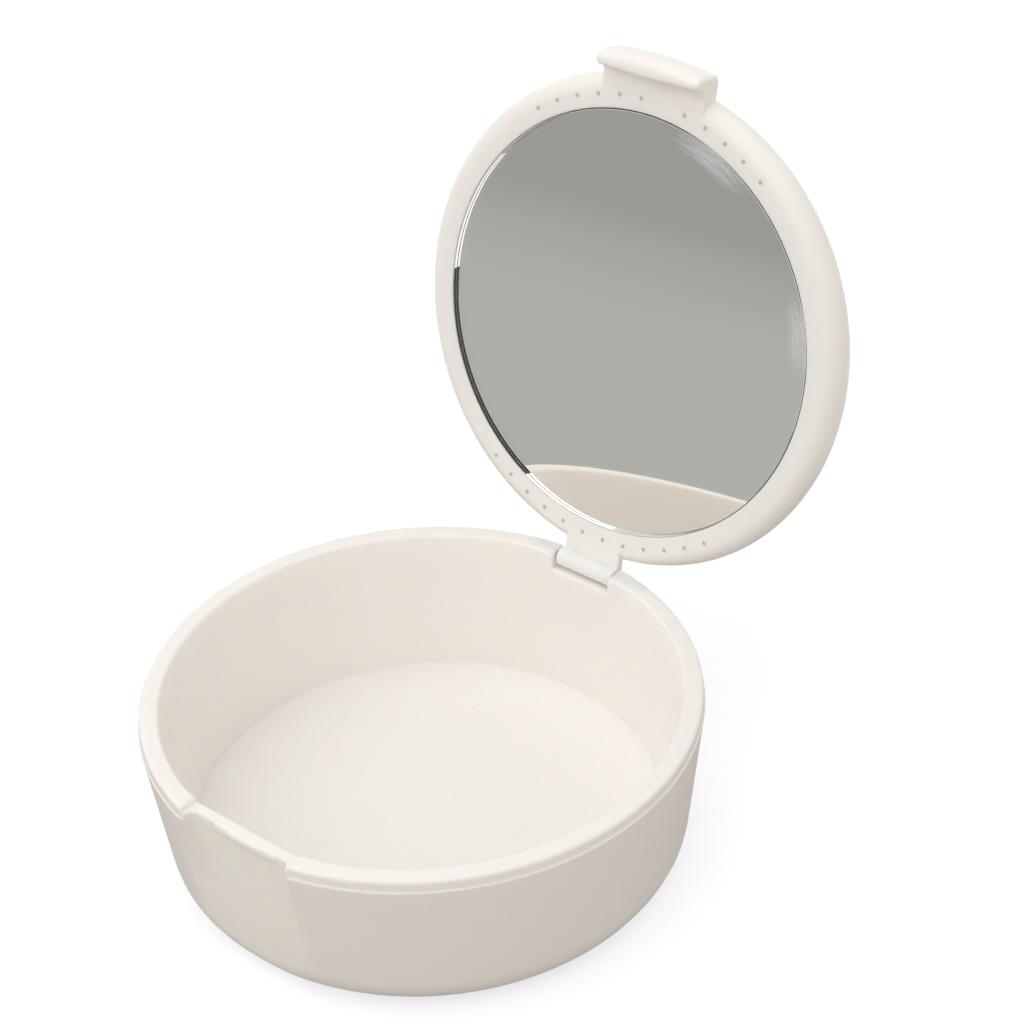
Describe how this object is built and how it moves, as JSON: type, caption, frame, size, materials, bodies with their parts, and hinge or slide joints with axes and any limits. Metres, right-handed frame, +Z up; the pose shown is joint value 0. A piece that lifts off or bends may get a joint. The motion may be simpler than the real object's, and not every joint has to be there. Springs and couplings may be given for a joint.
{
  "type": "denture case",
  "caption": "Round hinged case with a shallow bowl, a mirror set in the lid, vent rows in the lid's ring and a snap latch, for keeping a denture or dental appliance.",
  "frame": {"origin": "centre of the bowl's flat underside, on the bowl's axis", "axes": "+Z up out of the bowl's mouth, +Y towards the hinge, -Y towards the latch, +X along the hinge pin"},
  "size_m": [0.085, 0.1066, 0.1075],
  "materials": {
    "white_plastic": "warm white moulded polypropylene, satin to soft gloss",
    "steel": "plain drawn wire",
    "mirror": "silvered glass with faint scratches and haze at the edge",
    "foam_tape": "matt double-sided foam tape"
  },
  "bodies": {
    "bowl": {"bowl": "white_plastic", "hinge_pin": "steel"},
    "lid": {"lid": "white_plastic", "mirror": "mirror", "mirror_tape": "foam_tape"}
  },
  "joints": [
    {"name": "lid_hinge", "type": "hinge", "parent": "bowl", "child": "lid", "pos_m": [0, 0.04005, 0.027], "axis": [1, 0, 0], "range_deg": [0, 104]}
  ]
}
